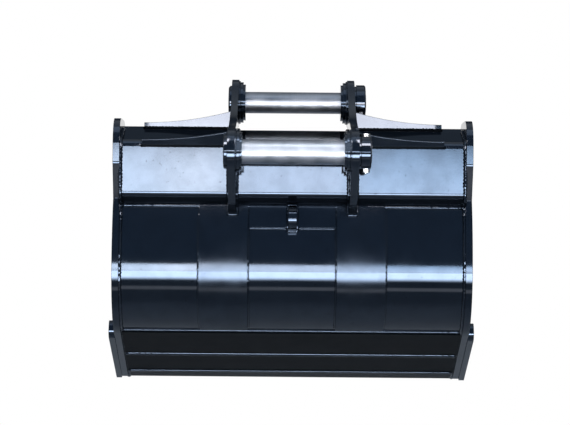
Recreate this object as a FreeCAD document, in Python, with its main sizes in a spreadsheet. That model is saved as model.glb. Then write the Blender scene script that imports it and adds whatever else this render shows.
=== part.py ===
"""Excavator rock bucket with its two hanger pins, as separate welded plates.

X runs to the right, Y away from the viewer, who stands behind the bucket, and Z up.
The origin is the middle of the upper pin's axis. Outlines lie in the YZ plane.
Lengths are in millimetres and angles in degrees.
"""
import FreeCAD
import Part
import Sketcher
import os

Vector = FreeCAD.Vector
OUT_DIR = "parts"
SIDES = (("left", -1), ("right", 1))

# Driving sizes: alias, value, what it is
SIZES = [
    # Pins and their fits
    ("dipper_pin_dia", 60, "upper pin diameter"),
    ("link_pin_dia", 65, "lower pin diameter"),
    ("pin_clearance", 0.15, "radial clearance of a pin in its bore"),
    ("link_pin_back", 290, "lower pin behind the upper pin"),
    ("link_pin_drop", 151, "lower pin below the upper pin"),
    ("pin_side_play", 0.5, "gap between an ear and a pin head or shim"),
    ("pin_chamfer", 3, "chamfer at the plain end of a pin"),
    ("dipper_head_dia", 94, "upper pin head diameter"),
    ("dipper_head_thickness", 9, "upper pin head thickness"),
    ("dipper_head_chamfer", 4, "bevel round the upper pin head"),
    ("link_head_dia", 91, "lower pin head diameter"),
    ("link_head_thickness", 10, "lower pin head thickness"),
    ("link_head_chamfer", 2, "bevel round the lower pin head"),
    ("shim_thickness", 5, "shim between the right ear and the collar"),
    ("dipper_shim_dia", 95, "upper shim diameter"),
    ("link_shim_dia", 82, "lower shim diameter"),
    ("dipper_collar_dia", 103, "upper collar diameter"),
    ("link_collar_dia", 90, "lower collar diameter"),
    ("collar_width", 26, "width of a collar along its pin"),
    ("collar_chamfer", 3, "bevel at the outer end of a collar"),
    ("pin_end_stand", 2, "plain end of a pin past its collar"),
    ("bolt_dia", 12, "through bolt diameter"),
    ("bolt_clearance", 0.5, "radial clearance of a bolt in its hole"),
    ("bolt_head_flats", 19, "width across the flats of head and nut"),
    ("bolt_head_height", 7.5, "bolt head height"),
    ("bolt_end_stand", 3, "bolt end past its nut"),
    ("nut_height", 10, "nut height"),
    ("flat_depth", 3, "flat milled on a collar for a head or nut"),
    ("dipper_bolt_angle", 40, "lean of the upper bolt from upright"),
    ("link_bolt_angle", 0, "lean of the lower bolt from upright"),
    # Ears and bosses
    ("ear_gap", 302, "clear distance between the ears"),
    ("ear_thickness", 20, "ear plate thickness"),
    ("dipper_lobe_radius", 64, "ear edge round the upper pin"),
    ("link_lobe_radius", 60, "ear edge round the lower pin"),
    ("lobe_split_angle", 30, "where the upper lobe's outline is split"),
    ("ear_saddle_radius", 400, "hollow of the ear's top edge"),
    ("ear_toe_on_shell", 3, "ear toe above the start of the shell's arc"),
    ("ear_toe_thickness", 12, "thickness of the ear's toe"),
    ("boss_dia", 114, "boss diameter"),
    ("boss_thickness", 12, "boss thickness"),
    ("boss_step_dia", 101, "diameter of the boss's thinner step"),
    ("boss_step_thickness", 6, "thickness of the boss's thinner step"),
    # Wrapper
    ("shell_thickness", 14, "rolled wrapper thickness"),
    ("back_radius", 430, "outer radius of the back"),
    ("back_behind", 215, "rearmost line of the back behind the upper pin"),
    ("back_centre_drop", 468, "centre of the back's arc, below the pin"),
    ("back_top_angle", 20, "where the back's arc ends, above its centre"),
    ("heel_radius", 180, "outer radius of the heel"),
    ("heel_end_angle", 65, "where the heel's arc ends, below its centre"),
    ("floor_length", 190, "flat floor from the heel to the cutting edge"),
    # Side plates
    ("inner_width", 924, "width between the side plates at the gauge line"),
    ("gauge_back", 230, "gauge line behind the upper pin"),
    ("side_taper", 2.7, "flare of each side plate towards the mouth"),
    ("side_thickness", 18, "side plate thickness"),
    ("side_stand", 12, "side plate standing past the wrapper"),
    ("side_top_drop", 57, "top edge below the upper pin"),
    ("side_top_front", 10, "front top corner past the upper pin"),
    ("side_top_radius", 70, "rounding of the front top corner"),
    ("side_rear_radius", 70, "rounding of the rear top corner"),
    ("side_turn_drop", 180, "where the rear edge turns in"),
    ("side_turn_radius", 20, "rounding of that turn"),
    ("side_waist_angle", 26, "where the rear edge joins the back's arc"),
    ("side_lip_along", 375, "side plate along the floor"),
    # Torsion box
    ("box_thickness", 12, "folded box plate thickness"),
    ("panel_back", 205, "rear panel behind the upper pin"),
    ("roof_bend_drop", 120.4, "bend of roof and panel below the pin"),
    ("roof_slope", 18, "slope of the roof"),
    ("roof_past_shell", 5.0737, "roof past the wrapper's inner top edge"),
    ("panel_foot_drop", 264, "lower bend of the panel below the pin"),
    ("return_angle", 45, "turn of the return under the panel"),
    ("box_bend_radius", 20, "outer bend radius"),
    ("box_end_thickness", 10, "plate that closes an end of the box"),
    ("lip_bar_width", 33, "bar along the front of the roof"),
    ("lip_bar_thickness", 25, "thickness of that bar"),
    # Gussets
    ("gusset_thickness", 12, "gusset plate thickness"),
    ("front_gusset_length", 240, "front gusset out from the ear"),
    ("front_gusset_inset", 3, "front gusset behind the front bar's edge"),
    ("front_gusset_low", 15, "front gusset height at its outer end"),
    ("front_gusset_high", 48, "front gusset height at the ear"),
    ("front_gusset_radius", 900, "hollow of the front gusset's edge"),
    ("rear_gusset_length", 233, "rear gusset out from the ear"),
    ("rear_gusset_behind", 4, "rear gusset behind the roof's corner"),
    ("rear_gusset_low", 4, "rear gusset over the roof at its outer end"),
    ("rear_gusset_high", 27, "rear gusset over the roof at the ear"),
    ("rear_gusset_radius", 1200, "hollow of the rear gusset's edge"),
    # Wear parts on the back
    ("strip_thickness", 11, "wear strip thickness"),
    ("strip_width", 130, "wear strip width"),
    ("strip_centre", 184, "wear strip centre from the middle"),
    ("strip_under_return", 4, "wear strip top below the return's end"),
    ("strip_end_angle", 58, "wear strip end round the heel"),
    # Lifting eye
    ("eye_thickness", 22, "lifting eye plate thickness"),
    ("eye_hole_dia", 30, "lifting eye hole"),
    ("eye_stand", 31, "eye hole centre out from the wrapper"),
    ("eye_hole_angle", 18, "eye hole centre round the back's arc"),
    ("eye_radius", 31, "rounded end of the eye"),
    ("eye_under_return", 2, "eye foot below the return's end"),
    ("eye_low_angle", 14.7, "eye foot round the back's arc"),
    ("pad_thickness", 7, "doubler plate thickness"),
    ("pad_gap", 3, "gap between a doubler plate and a wear strip"),
    ("pad_under_return", 4, "doubler top below the return's end"),
    ("pad_low_angle", 15.7, "doubler foot round the back's arc"),
    # Lip
    ("wear_start", 6, "lip wear plate from the heel's end"),
    ("wear_end", 175, "lip wear plate front edge"),
    ("wear_thickness", 8, "lip wear plate thickness"),
    ("edge_thickness", 22, "cutting edge thickness"),
    ("edge_tip_along", 408, "tip of the cutting edge along the floor"),
    ("edge_bevel", 78, "length of the bevel at the tip"),
    ("edge_nose", 14, "thickness left at the tip"),
    # Side cutters
    ("cutter_thickness", 16, "side cutter thickness"),
    ("cutter_stand", 16, "side cutter standing past the floor"),
    ("cutter_heel_along", 12, "side cutter heel along the floor"),
    ("cutter_tip_along", 402, "side cutter tip along the floor"),
    ("cutter_front_stand", 14, "side cutter standing past the mouth edge"),
    ("cutter_reach", 330, "side cutter up the mouth edge"),
    ("cutter_width", 95, "side cutter width"),
    ("cutter_heel_height", 48, "side cutter height at its heel"),
    ("cutter_inner_along", 190, "its inner corner up the mouth edge"),
    ("cutter_inner_depth", 125, "that corner back from its front edge"),
    ("cutter_radius", 22, "rounding of its corners"),
    ("cutter_tip_radius", 11, "rounding of its tip"),
    ("cutter_inner_radius", 44, "rounding of its inner corner"),
    # Trimming
    ("gusset_cut", 80, "reach of the cut that fits a gusset to the roof"),
]

# Values worked out from the driving sizes
DERIVED = [
    ("stock_reach", "inner_width"),
    ("cut_length", "2 * inner_width"),
    ("ear_inner", "ear_gap / 2"),
    ("ear_outer", "ear_inner + ear_thickness"),
    ("dipper_bore_dia", "dipper_pin_dia + 2 * pin_clearance"),
    ("link_bore_dia", "link_pin_dia + 2 * pin_clearance"),
    ("play_face", "ear_outer + pin_side_play"),
    ("collar_face", "play_face + shim_thickness"),
    ("collar_end", "collar_face + collar_width"),
    ("collar_middle", "collar_face + collar_width / 2"),
    ("pin_end", "collar_end + pin_end_stand"),
    ("bolt_hole_dia", "bolt_dia + 2 * bolt_clearance"),
    ("boss_face", "ear_inner - boss_thickness"),
    ("floor_slope", "90 - heel_end_angle"),
    ("edge_stand", "edge_thickness - shell_thickness"),
    ("taper_rate", "tan(side_taper * 1 deg)"),
    ("half_gauge", "inner_width / 2"),
    ("half_back", "half_gauge + (gauge_back - stock_reach) * taper_rate"),
    ("half_front", "half_gauge + (gauge_back + stock_reach) * taper_rate"),
    ("side_across", "side_thickness / cos(side_taper * 1 deg)"),
    ("cutter_across", "cutter_thickness / cos(side_taper * 1 deg)"),
    ("box_end_across", "box_end_thickness / cos(side_taper * 1 deg)"),
    ("roof_cos", "cos(roof_slope * 1 deg)"),
    ("roof_sin", "sin(roof_slope * 1 deg)"),
    ("top_cos", "cos(back_top_angle * 1 deg)"),
    ("top_sin", "sin(back_top_angle * 1 deg)"),
    ("floor_cos", "cos(floor_slope * 1 deg)"),
    ("floor_sin", "sin(floor_slope * 1 deg)"),
    ("return_cos", "cos(return_angle * 1 deg)"),
    ("return_sin", "sin(return_angle * 1 deg)"),
    ("upper_tangent", "box_bend_radius * tan((90 - roof_slope) / 2 * 1 deg)"),
    ("lower_tangent", "box_bend_radius * tan(return_angle / 2 * 1 deg)"),
    ("box_bend_inner", "box_bend_radius - box_thickness"),
    ("back_inner", "back_radius - shell_thickness"),
    ("back_centre_out", "back_radius - back_behind"),
    ("heel_inner", "heel_radius - shell_thickness"),
    ("side_back_radius", "back_radius + side_stand"),
    ("side_heel_radius", "heel_radius + side_stand"),
    ("strip_back_radius", "back_radius + strip_thickness"),
    ("strip_heel_radius", "heel_radius + strip_thickness"),
    ("pad_radius", "back_radius + pad_thickness"),
    ("strip_inner_face", "strip_centre - strip_width / 2"),
    ("eye_face", "eye_thickness / 2"),
    ("pad_length", "strip_inner_face - eye_face - pad_gap"),
    ("pin_spacing", "sqrt(link_pin_back ^ 2 + link_pin_drop ^ 2)"),
    ("saddle_to_dipper", "ear_saddle_radius + dipper_lobe_radius"),
    ("saddle_to_link", "ear_saddle_radius + link_lobe_radius"),
    ("saddle_reach", "(pin_spacing ^ 2 + saddle_to_dipper ^ 2"
     " - saddle_to_link ^ 2) / (2 * pin_spacing)"),
    ("saddle_height", "sqrt(saddle_to_dipper ^ 2 - saddle_reach ^ 2)"),
]

doc = FreeCAD.newDocument("RockBucket")
sheet = doc.addObject("Spreadsheet::Sheet", "Sizes")
used_rows = 0


def add_cell(alias, content, note=""):
    """Write one named value on the next row of the sheet."""
    global used_rows
    used_rows += 1
    sheet.set("A%d" % used_rows, alias)
    sheet.set("B%d" % used_rows, str(content))
    sheet.setAlias("B%d" % used_rows, alias)
    sheet.set("C%d" % used_rows, note)


def add_point(name, across, up):
    """Name a point of an outline: two cells that hold formulas."""
    add_cell(name + "_across", "=" + across)
    add_cell(name + "_up", "=" + up)


def value(alias):
    """Read a named value as a plain number."""
    found = sheet.get(alias)
    return float(getattr(found, "Value", found))


def place(name):
    """Read a named point as a pair of numbers."""
    return value(name + "_across"), value(name + "_up")


for alias, number, note in SIZES:
    add_cell(alias, number, note)
for alias, formula in DERIVED:
    add_cell(alias, "=" + formula)


def add_arc_point(name, centre, radius, angle):
    """Name a point on a rear arc, its angle taken up from straight back."""
    add_point(name,
              "%s_across - (%s) * cos((%s) * 1 deg)" % (centre, radius, angle),
              "%s_up + (%s) * sin((%s) * 1 deg)" % (centre, radius, angle))


def add_shell_point(name, along, out):
    """Name a point on the straight top of the wrapper."""
    add_point(name,
              "back_end_out_across + (%s) * top_sin - (%s) * top_cos"
              % (along, out),
              "back_end_out_up + (%s) * top_cos + (%s) * top_sin"
              % (along, out))


def add_floor_point(name, along, out):
    """Name a point of the floor: along it from the heel, and out of it."""
    add_point(name,
              "heel_end_out_across + (%s) * floor_cos - (%s) * floor_sin"
              % (along, out),
              "heel_end_out_up - (%s) * floor_sin - (%s) * floor_cos"
              % (along, out))


def add_roof_point(name, along, out):
    """Name a point of the roof: along it from the bend, and out of it."""
    add_point(name,
              "-panel_back + (%s) * roof_cos - (%s) * roof_sin" % (along, out),
              "-roof_bend_drop + (%s) * roof_sin + (%s) * roof_cos"
              % (along, out))


# Centres
add_point("dipper", "0", "0")
add_point("link", "-link_pin_back", "-link_pin_drop")
add_point("back_centre", "back_centre_out", "-back_centre_drop")
add_point("heel_centre", "heel_radius - back_behind",
          "-back_centre_drop")

# Wrapper: from the floor's end round the heel and back to the roof
add_arc_point("back_end_out", "back_centre", "back_radius", "back_top_angle")
add_arc_point("back_end_in", "back_centre", "back_inner", "back_top_angle")
add_arc_point("heel_start_out", "back_centre", "back_radius", "0")
add_arc_point("heel_start_in", "back_centre", "back_inner", "0")
add_arc_point("heel_end_out", "heel_centre", "heel_radius", "-heel_end_angle")
add_arc_point("heel_end_in", "heel_centre", "heel_inner", "-heel_end_angle")
add_floor_point("floor_end_out", "floor_length", "0")
add_floor_point("floor_end_in", "floor_length", "-shell_thickness")
for edge, out in (("out", "0"), ("in", "-shell_thickness")):
    add_cell("shell_rise_" + edge,
             "=((back_end_%s_across + panel_back) * roof_sin"
             " - (back_end_%s_up + roof_bend_drop) * roof_cos"
             " - box_thickness) / cos((back_top_angle + roof_slope) * 1 deg)"
             % (edge, edge))
    add_shell_point("shell_top_" + edge, "shell_rise_" + edge, out)

# Torsion box: roof, rear panel and return, outside and inside
add_cell("roof_length",
         "=(shell_top_in_across + panel_back) * roof_cos"
         " + (shell_top_in_up + roof_bend_drop) * roof_sin + roof_past_shell")
add_roof_point("roof_front_top", "roof_length", "0")
add_roof_point("roof_front_low", "roof_length", "-box_thickness")
add_roof_point("roof_bend_out", "upper_tangent", "0")
add_roof_point("roof_bend_in", "upper_tangent", "-box_thickness")
add_point("panel_top_out", "-panel_back", "-roof_bend_drop - upper_tangent")
add_point("panel_top_in", "-panel_back + box_thickness", "panel_top_out_up")
add_point("panel_foot_out", "-panel_back", "-panel_foot_drop + lower_tangent")
add_point("panel_foot_in", "-panel_back + box_thickness", "panel_foot_out_up")
add_point("return_start_out", "-panel_back + lower_tangent * return_sin",
          "-panel_foot_drop - lower_tangent * return_cos")
add_point("return_start_in",
          "return_start_out_across + box_thickness * return_cos",
          "return_start_out_up + box_thickness * return_sin")
for edge in ("out", "in"):
    add_cell("return_length_" + edge,
             "=((return_start_%s_across - back_end_out_across) * top_cos"
             " - (return_start_%s_up - back_end_out_up) * top_sin)"
             " / -sin((return_angle + back_top_angle) * 1 deg)"
             % (edge, edge))
    add_point("return_end_" + edge,
              "return_start_%s_across + return_length_%s * return_sin"
              % (edge, edge),
              "return_start_%s_up - return_length_%s * return_cos"
              % (edge, edge))
add_cell("return_along",
         "=(return_end_out_across - back_end_out_across) * top_sin"
         " + (return_end_out_up - back_end_out_up) * top_cos")
add_roof_point("lip_bar_top", "roof_length + lip_bar_width", "0")
add_roof_point("lip_bar_low", "roof_length + lip_bar_width",
               "-lip_bar_thickness")
add_roof_point("lip_bar_heel", "roof_length", "-lip_bar_thickness")

# Ears: lobes round both pins, the hollow between them, and the toe
add_cell("pins_lean", "=link_pin_back / pin_spacing")
add_cell("pins_fall", "=link_pin_drop / pin_spacing")
add_point("saddle", "-pins_lean * saddle_reach - pins_fall * saddle_height",
          "-pins_fall * saddle_reach + pins_lean * saddle_height")
add_point("saddle_front",
          "saddle_across * dipper_lobe_radius / saddle_to_dipper",
          "saddle_up * dipper_lobe_radius / saddle_to_dipper")
add_point("saddle_rear",
          "link_across + (saddle_across - link_across)"
          " * link_lobe_radius / saddle_to_link",
          "link_up + (saddle_up - link_up) * link_lobe_radius"
          " / saddle_to_link")
add_point("lobe_split", "dipper_lobe_radius * cos(lobe_split_angle * 1 deg)",
          "dipper_lobe_radius * sin(lobe_split_angle * 1 deg)")
add_shell_point("toe_root", "ear_toe_on_shell", "strip_thickness")
add_shell_point("toe_tip", "ear_toe_on_shell",
                "strip_thickness + ear_toe_thickness")


def add_tangent_point(name, centre, radius, target, turn):
    """Name where a line from a target touches a circle, on one side."""
    add_cell(name + "_reach",
             "=sqrt((%s_across - %s_across) ^ 2 + (%s_up - %s_up) ^ 2)"
             % (target, centre, target, centre))
    add_cell(name + "_cos", "=%s / %s_reach" % (radius, name))
    add_cell(name + "_sin", "=%d * sqrt(1 - %s_cos ^ 2)" % (turn, name))
    far_across = "(%s_across - %s_across)" % (target, centre)
    far_up = "(%s_up - %s_up)" % (target, centre)
    add_point(name,
              "%s_across + %s / %s_reach * (%s * %s_cos - %s * %s_sin)"
              % (centre, radius, name, far_across, name, far_up, name),
              "%s_up + %s / %s_reach * (%s * %s_sin + %s * %s_cos)"
              % (centre, radius, name, far_across, name, far_up, name))


add_tangent_point("lobe_low", "dipper", "dipper_lobe_radius",
                  "roof_front_top", 1)
add_tangent_point("lobe_rear", "link", "link_lobe_radius", "toe_tip", -1)


def add_rounding(name, before, corner, after, radius):
    """Name both ends of the arc that rounds a corner of an outline."""
    for end, other in (("in", before), ("out", after)):
        add_cell("%s_%s_span" % (name, end),
                 "=sqrt((%s_across - %s_across) ^ 2 + (%s_up - %s_up) ^ 2)"
                 % (other, corner, other, corner))
    add_cell(name + "_cos",
             "=((%s_across - %s_across) * (%s_across - %s_across)"
             " + (%s_up - %s_up) * (%s_up - %s_up))"
             " / (%s_in_span * %s_out_span)"
             % (before, corner, after, corner, before, corner, after, corner,
                name, name))
    add_cell(name + "_tangent", "=%s * sqrt((1 + %s_cos) / (1 - %s_cos))"
             % (radius, name, name))
    for end, other in (("in", before), ("out", after)):
        share = "%s_tangent / %s_%s_span" % (name, name, end)
        add_point("%s_%s" % (name, end),
                  "%s_across + (%s_across - %s_across) * %s"
                  % (corner, other, corner, share),
                  "%s_up + (%s_up - %s_up) * %s"
                  % (corner, other, corner, share))


# Side plates: past the wrapper all round, up over the roof
add_point("side_crest", "side_top_front", "-side_top_drop")
add_point("side_rear", "-panel_back - side_stand", "-side_top_drop")
add_point("side_turn", "-panel_back - side_stand", "-side_turn_drop")
add_arc_point("side_waist", "back_centre", "side_back_radius",
              "side_waist_angle")
add_arc_point("side_heel_start", "back_centre", "side_back_radius", "0")
add_arc_point("side_heel_end", "heel_centre", "side_heel_radius",
              "-heel_end_angle")
add_floor_point("side_lip", "side_lip_along", "side_stand")
add_rounding("crest_round", "side_lip", "side_crest", "side_rear",
             "side_top_radius")
add_rounding("rear_round", "side_crest", "side_rear", "side_turn",
             "side_rear_radius")
add_rounding("turn_round", "side_rear", "side_turn", "side_waist",
             "side_turn_radius")

# Side cutters: down the mouth edge to the tip and back along the floor
add_cell("mouth_span",
         "=sqrt((side_crest_across - side_lip_across) ^ 2"
         " + (side_crest_up - side_lip_up) ^ 2)")
add_cell("mouth_lean", "=(side_crest_across - side_lip_across) / mouth_span")
add_cell("mouth_climb", "=(side_crest_up - side_lip_up) / mouth_span")


def add_mouth_point(name, along, out):
    """Name a point on the mouth edge: up it from the lip, and out of it."""
    add_point(name,
              "side_lip_across + (%s) * mouth_lean + (%s) * mouth_climb"
              % (along, out),
              "side_lip_up + (%s) * mouth_climb - (%s) * mouth_lean"
              % (along, out))


add_floor_point("cutter_heel", "cutter_heel_along", "cutter_stand")
add_floor_point("cutter_tip", "cutter_tip_along", "cutter_stand")
add_mouth_point("cutter_knee", "cutter_tip_along - side_lip_along",
                "cutter_front_stand")
add_mouth_point("cutter_top", "cutter_reach", "cutter_front_stand")
add_mouth_point("cutter_top_rear", "cutter_reach",
                "cutter_front_stand - cutter_width")
add_mouth_point("cutter_inner", "cutter_inner_along",
                "cutter_front_stand - cutter_inner_depth")
add_floor_point("cutter_heel_top", "cutter_heel_along",
                "cutter_stand - cutter_heel_height")
add_rounding("cutter_heel_round", "cutter_heel_top", "cutter_heel",
             "cutter_tip", "cutter_radius")
add_rounding("cutter_tip_round", "cutter_heel", "cutter_tip", "cutter_knee",
             "cutter_tip_radius")
add_rounding("cutter_top_round", "cutter_knee", "cutter_top",
             "cutter_top_rear", "cutter_radius")
add_rounding("cutter_rear_round", "cutter_top", "cutter_top_rear",
             "cutter_inner", "cutter_radius")
add_rounding("cutter_inner_round", "cutter_top_rear", "cutter_inner",
             "cutter_heel_top", "cutter_inner_radius")
add_rounding("cutter_tail_round", "cutter_inner", "cutter_heel_top",
             "cutter_heel", "cutter_radius")

# Wear strips, doublers and lifting eye on the back
add_shell_point("strip_top", "return_along - strip_under_return", "0")
add_shell_point("strip_top_out", "return_along - strip_under_return",
                "strip_thickness")
add_arc_point("strip_bend_out", "back_centre", "strip_back_radius",
              "back_top_angle")
add_arc_point("strip_heel_out", "back_centre", "strip_back_radius", "0")
add_arc_point("strip_end_out", "heel_centre", "strip_heel_radius",
              "-strip_end_angle")
add_arc_point("strip_end", "heel_centre", "heel_radius", "-strip_end_angle")
add_shell_point("pad_top", "return_along - pad_under_return", "0")
add_shell_point("pad_top_out", "return_along - pad_under_return",
                "pad_thickness")
add_arc_point("pad_bend_out", "back_centre", "pad_radius", "back_top_angle")
add_arc_point("pad_low_out", "back_centre", "pad_radius", "pad_low_angle")
add_arc_point("pad_low", "back_centre", "back_radius", "pad_low_angle")
add_arc_point("eye_hole", "back_centre", "back_radius + eye_stand",
              "eye_hole_angle")
add_shell_point("eye_top", "return_along - eye_under_return", "0")
add_arc_point("eye_low", "back_centre", "back_radius", "eye_low_angle")
add_tangent_point("eye_crown", "eye_hole", "eye_radius", "eye_top", 1)
add_tangent_point("eye_chin", "eye_hole", "eye_radius", "eye_low", -1)

# Lip
add_floor_point("wear_rear", "wear_start", "0")
add_floor_point("wear_rear_low", "wear_start", "wear_thickness")
add_floor_point("wear_front_low", "wear_end", "wear_thickness")
add_floor_point("wear_front", "wear_end", "0")
add_floor_point("edge_rear_low", "floor_length", "edge_stand")
add_floor_point("edge_bevel_low", "edge_tip_along - edge_bevel", "edge_stand")
add_floor_point("edge_tip_low", "edge_tip_along",
                "edge_nose - shell_thickness")
add_floor_point("edge_tip_top", "edge_tip_along", "-shell_thickness")

# Bolts: seats on the collars, the bolt's axis and the corners of a hexagon
add_cell("dipper_seat", "=dipper_collar_dia / 2 - flat_depth")
add_cell("link_seat", "=link_collar_dia / 2 - flat_depth")
add_point("bolt_axis", "collar_middle", "0")
add_point("flat_near_rear", "collar_face", "-dipper_collar_dia / 2")
add_point("flat_far_rear", "collar_end", "-dipper_collar_dia / 2")
add_point("flat_far_front", "collar_end", "dipper_collar_dia / 2")
add_point("flat_near_front", "collar_face", "dipper_collar_dia / 2")
for corner in range(6):
    add_point("hex%d" % corner,
              "collar_middle + bolt_head_flats / sqrt(3) * cos(%d deg)"
              % (corner * 60),
              "bolt_head_flats / sqrt(3) * sin(%d deg)" % (corner * 60))
HEXAGON = [("hex%d" % corner,) for corner in range(6)]

# Gussets: height over the roof, with a hollow upper edge
add_cell("gusset_back", "=lip_bar_top_across - front_gusset_inset"
         " - gusset_thickness")
add_cell("gusset_root", "=lip_bar_top_up - (front_gusset_inset"
         " + gusset_thickness) * roof_sin / roof_cos")
add_roof_point("roof_cut_front", "roof_length + gusset_cut", "0")
add_point("roof_cut_low", "roof_cut_front_across", "panel_foot_out_up")
add_point("bend_cut_roof", "upper_tangent", "0")
add_point("bend_cut_panel", "-upper_tangent * roof_sin",
          "-upper_tangent * roof_cos")
add_point("bend_cut_foot", "bend_cut_panel_across - gusset_cut * roof_sin",
          "bend_cut_panel_up - gusset_cut * roof_cos")
add_point("bend_cut_front", "gusset_cut", "0")
add_point("bend_cut_low", "gusset_cut", "bend_cut_foot_up")
for side, sign in SIDES:
    for gusset_end, foot, base in (
            ("front", "gusset_root - gusset_cut", "gusset_root"),
            ("rear", "-box_bend_radius", "0")):
        gusset = "%s_gusset" % gusset_end
        corner = "%s_%s" % (gusset, side)
        root = "%d * ear_outer" % sign
        tip = "%d * (ear_outer + %s_length)" % (sign, gusset)
        add_point(corner + "_root", root, foot)
        add_point(corner + "_tip", tip, foot)
        add_point(corner + "_tip_top", tip, "%s + %s_low" % (base, gusset))
        add_point(corner + "_root_top", root, "%s + %s_high" % (base, gusset))

doc.recompute()


def face_role(body, role):
    """Find one of a body's own base planes."""
    planes = [item for item in body.Origin.OriginFeatures
              if item.Role == role]
    return planes[0]


def add_body(node):
    """Start one separate piece of the bucket."""
    body = doc.addObject("PartDesign::Body", node)
    body.Label = node
    return body


def add_sketch(body, name, role, offset=None):
    """Add an empty sketch on a base plane, moved along its normal."""
    sketch = body.newObject("Sketcher::SketchObject", body.Name + "_" + name)
    sketch.AttachmentSupport = [(face_role(body, role), "")]
    sketch.MapMode = "FlatFace"
    if offset is not None:
        sketch.setExpression("AttachmentOffset.Base.z", in_sheet(offset))
    return sketch


def in_sheet(formula):
    """Turn a formula of aliases into one that a feature can read."""
    words = []
    word = ""
    for letter in formula + " ":
        if letter.isalnum() or letter == "_":
            word += letter
            continue
        if word and word[0].isalpha():
            word = "Sizes." + word
        words.append(word + letter)
        word = ""
    return "".join(words).strip()


def pin_down(sketch, index, end, name):
    """Tie one end of a sketch line to a named point."""
    across, up = place(name)
    row = sketch.addConstraint(
        Sketcher.Constraint("DistanceX", -1, 1, index, end, across))
    sketch.setExpression("Constraints[%d]" % row, "Sizes.%s_across" % name)
    row = sketch.addConstraint(
        Sketcher.Constraint("DistanceY", -1, 1, index, end, up))
    sketch.setExpression("Constraints[%d]" % row, "Sizes.%s_up" % name)


def arc_between(start, finish, radius, turn):
    """Make the short arc from one point to another, turning left or right."""
    chord = Vector(finish[0] - start[0], finish[1] - start[1], 0)
    middle = Vector(start[0], start[1], 0) + chord * 0.5
    rise = (radius ** 2 - (chord.Length / 2) ** 2) ** 0.5
    left = Vector(-chord.y, chord.x, 0).normalize()
    bow = middle - left * turn * (radius - rise)
    first, last = Vector(*start, 0), Vector(*finish, 0)
    if turn < 0:
        first, last = last, first
    return Part.Arc(first, bow, last)


def draw_outline(sketch, steps):
    """Draw a closed outline through named points.

    Each step is a point and, where an arc leads on to the next point, its
    radius and its turn: 1 to the left, -1 to the right.
    """
    count = len(steps)
    first_index = sketch.GeometryCount
    ends = []
    for number, step in enumerate(steps):
        start = place(step[0])
        finish = place(steps[(number + 1) % count][0])
        if len(step) == 1:
            edge = Part.LineSegment(Vector(*start, 0), Vector(*finish, 0))
            ends.append((1, 2))
        else:
            edge = arc_between(start, finish, value(step[1]), step[2])
            ends.append((1, 2) if step[2] > 0 else (2, 1))
        sketch.addGeometry(edge, False)
    for number, step in enumerate(steps):
        index = first_index + number
        following = (number + 1) % count
        sketch.addConstraint(Sketcher.Constraint(
            "Coincident", index, ends[number][1],
            first_index + following, ends[following][0]))
        pin_down(sketch, index, ends[number][0], step[0])
        if len(step) > 1:
            row = sketch.addConstraint(Sketcher.Constraint(
                "Radius", index, value(step[1])))
            sketch.setExpression("Constraints[%d]" % row, in_sheet(step[1]))


def draw_circle(sketch, centre, diameter):
    """Draw a circle round a named point."""
    index = sketch.addGeometry(Part.Circle(
        Vector(*place(centre), 0), Vector(0, 0, 1), value(diameter) / 2),
        False)
    pin_down(sketch, index, 3, centre)
    row = sketch.addConstraint(
        Sketcher.Constraint("Diameter", index, value(diameter)))
    sketch.setExpression("Constraints[%d]" % row, in_sheet(diameter))


def add_pad(body, sketch, length, backwards=False, both_ways=False):
    """Pull a sketch out into a solid."""
    pad = body.newObject("PartDesign::Pad", sketch.Name + "_pad")
    pad.Profile = sketch
    pad.SideType = "Symmetric" if both_ways else "One side"
    pad.Reversed = backwards
    pad.setExpression("Length", in_sheet(length))
    sketch.Visibility = False
    doc.recompute()
    return pad


def add_cut(body, sketch):
    """Cut a sketch right through the body, both ways."""
    cut = body.newObject("PartDesign::Pocket", sketch.Name + "_cut")
    cut.Profile = sketch
    cut.SideType = "Symmetric"
    cut.setExpression("Length", "Sizes.cut_length")
    sketch.Visibility = False
    doc.recompute()
    return cut


def add_wedge(name, sign, near, far):
    """Name the corners of a plan-view cut between two flared lines.

    FLANK in an offset stands for the inner face of the side plate.
    """
    for end in ("back", "front"):
        flank = "half_" + end
        reach = "-stock_reach" if end == "back" else "stock_reach"
        for side, offset in (("near", near), ("far", far)):
            across = "%d * (%s)" % (sign, offset.replace("FLANK", flank))
            add_point("%s_%s_%s" % (name, side, end), across, reach)
    doc.recompute()


def cut_wedges(body, cuts):
    """Trim a body in plan: each cut lies between two flared lines."""
    sketch = add_sketch(body, "trim", "XY_Plane")
    for number, (sign, near, far) in enumerate(cuts):
        name = "%s_trim%d" % (body.Name, number)
        add_wedge(name, sign, near, far)
        corners = [(name + "_near_back",), (name + "_far_back",),
                   (name + "_far_front",), (name + "_near_front",)]
        draw_outline(sketch, corners)
    return add_cut(body, sketch)


def between_sides():
    """Cuts that leave what lies between the side plates."""
    return [(sign, "FLANK", "2 * stock_reach") for _, sign in SIDES]


def slab(sign, near, far):
    """Cuts that leave a flared slab outside a side plate's inner face."""
    return [(sign, "-stock_reach", near), (sign, far, "2 * stock_reach")]


def add_extrusion(node, steps, start, length, sign=1, holes=()):
    """Make a body: one outline in the YZ plane pulled along X."""
    body = add_body(node)
    sketch = add_sketch(body, "outline", "YZ_Plane", "%d * (%s)" % (sign, start))
    draw_outline(sketch, steps)
    for centre, diameter in holes:
        draw_circle(sketch, centre, diameter)
    add_pad(body, sketch, length, backwards=sign < 0)
    return body


def add_full_width(node, steps):
    """Make a body that fills the width between the side plates."""
    body = add_body(node)
    sketch = add_sketch(body, "outline", "YZ_Plane")
    draw_outline(sketch, steps)
    add_pad(body, sketch, "2 * stock_reach", both_ways=True)
    cut_wedges(body, between_sides())
    return body


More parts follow.
